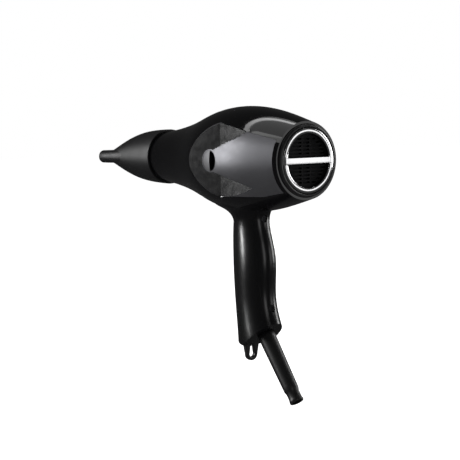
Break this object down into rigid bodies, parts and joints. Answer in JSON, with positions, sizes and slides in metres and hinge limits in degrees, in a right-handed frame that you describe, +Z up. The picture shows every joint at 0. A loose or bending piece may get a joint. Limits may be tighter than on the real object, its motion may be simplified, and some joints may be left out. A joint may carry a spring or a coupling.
{
  "type": "hair dryer",
  "caption": "Hand-held electric hair dryer with a turned barrel, sculpted side panels, flat air nozzle, banded rear intake ring, slim handle and a rubber cord sleeve.",
  "frame": {"origin": "middle of the grip, on the handle's axis", "axes": "+X to the rear of the barrel, along it; +Z up from the grip to the barrel; +Y to the left side, so the XZ plane is the middle plane"},
  "size_m": [0.2709, 0.0922, 0.2562],
  "materials": {
    "housing_gloss": "high gloss moulded ABS",
    "panel_satin": "satin moulded plastic with a fine pearl",
    "inlay_gloss": "polished black plastic",
    "grip_soft": "smooth black trim",
    "screw_steel": "blackened steel",
    "loop_plastic": "flexible moulded nylon",
    "nozzle_matte": "heat-resistant matt plastic",
    "rim_satin": "satin black plastic",
    "trim_chrome": "bright plated plastic",
    "grille_black": "black moulded nylon",
    "filter_mesh": "fine woven wire cloth",
    "inner_plastic": "glass-filled nylon",
    "motor_steel": "zinc plated steel",
    "bearing_steel": "ground steel",
    "magnet_iron": "lacquered iron laminations",
    "carbon": "pressed carbon",
    "copper": "turned copper",
    "fan_plastic": "glass-filled nylon",
    "mica": "pressed mica sheet",
    "heater_wire": "oxidised resistance wire",
    "switch_plastic": "moulded phenolic",
    "rocker_gloss": "gloss moulded ABS",
    "button_blue": "gloss moulded ABS",
    "board": "solder-masked glass board",
    "terminal_white": "white nylon",
    "lead_red": "silicone insulated lead",
    "boot_rubber": "soft black rubber"
  },
  "bodies": {
    "housing": {"main_housing": "housing_gloss", "side_panel_right": "panel_satin", "side_panel_left": "panel_satin", "side_inlay_right": "inlay_gloss", "side_inlay_left": "inlay_gloss", "front_grip": "grip_soft", "handle_rear_cover": "housing_gloss", "handle_screws": "screw_steel", "hanging_loop": "loop_plastic", "fan_shroud": "inner_plastic", "motor_can": "motor_steel", "motor_end_cap": "inner_plastic", "rear_bearing": "bearing_steel", "front_bearing": "bearing_steel", "field_magnets": "magnet_iron", "carbon_brushes": "carbon", "mica_sleeve": "mica", "mica_boards": "mica", "heater_coil": "heater_wire", "thermostat": "switch_plastic", "thermal_fuse": "bearing_steel", "front_grille": "grille_black", "air_guide": "inner_plastic", "speed_switch": "switch_plastic", "heat_switch": "switch_plastic", "cool_switch": "switch_plastic", "button_spring": "bearing_steel", "switch_board": "board", "suppressor": "switch_plastic", "terminal_block": "terminal_white", "motor_leads": "lead_red", "cord_boot": "boot_rubber", "cord_clamp": "inner_plastic", "clamp_screws": "screw_steel"},
    "rear_cover": {"rear_rim": "rim_satin", "rear_trim_ring": "trim_chrome", "rear_grille": "grille_black", "filter_mesh": "filter_mesh", "filter_frame": "grille_black"},
    "fan_rotor": {"motor_shaft": "bearing_steel", "rotor_core": "magnet_iron", "commutator": "copper", "fan_impeller": "fan_plastic"},
    "nozzle_collar": {"nozzle_snap_ring": "nozzle_matte"},
    "nozzle": {"nozzle_shell": "nozzle_matte"},
    "speed_rocker": {"speed_rocker": "rocker_gloss"},
    "heat_rocker": {"heat_rocker": "rocker_gloss"},
    "cool_button": {"cool_shot_button": "button_blue"}
  },
  "joints": [
    {"name": "rear_cover_pull", "type": "slide", "parent": "housing", "child": "rear_cover", "axis": [1, 0, 0], "range_m": [0, 0.03]},
    {"name": "fan_spin", "type": "hinge", "parent": "housing", "child": "fan_rotor", "pos_m": [0.04, 0, 0.1], "axis": [1, 0, 0], "continuous": true},
    {"name": "nozzle_pull", "type": "slide", "parent": "housing", "child": "nozzle_collar", "axis": [-1, 0, 0], "range_m": [0, 0.03]},
    {"name": "nozzle_turn", "type": "hinge", "parent": "nozzle_collar", "child": "nozzle", "pos_m": [-0.13, 0, 0.1], "axis": [1, 0, 0], "continuous": true},
    {"name": "speed_rocker_tilt", "type": "hinge", "parent": "housing", "child": "speed_rocker", "pos_m": [-0.01638, 0, 0.018], "axis": [0, 1, 0], "range_deg": [-8, 8]},
    {"name": "heat_rocker_tilt", "type": "hinge", "parent": "housing", "child": "heat_rocker", "pos_m": [-0.01552, 0, -0.003], "axis": [0, 1, 0], "range_deg": [-8, 8]},
    {"name": "cool_button_press", "type": "slide", "parent": "housing", "child": "cool_button", "axis": [1, 0, 0], "range_m": [0, 0.002], "stiffness_N_per_m": 600, "springref_m": -0.001, "deforming": ["button_spring"]}
  ]
}
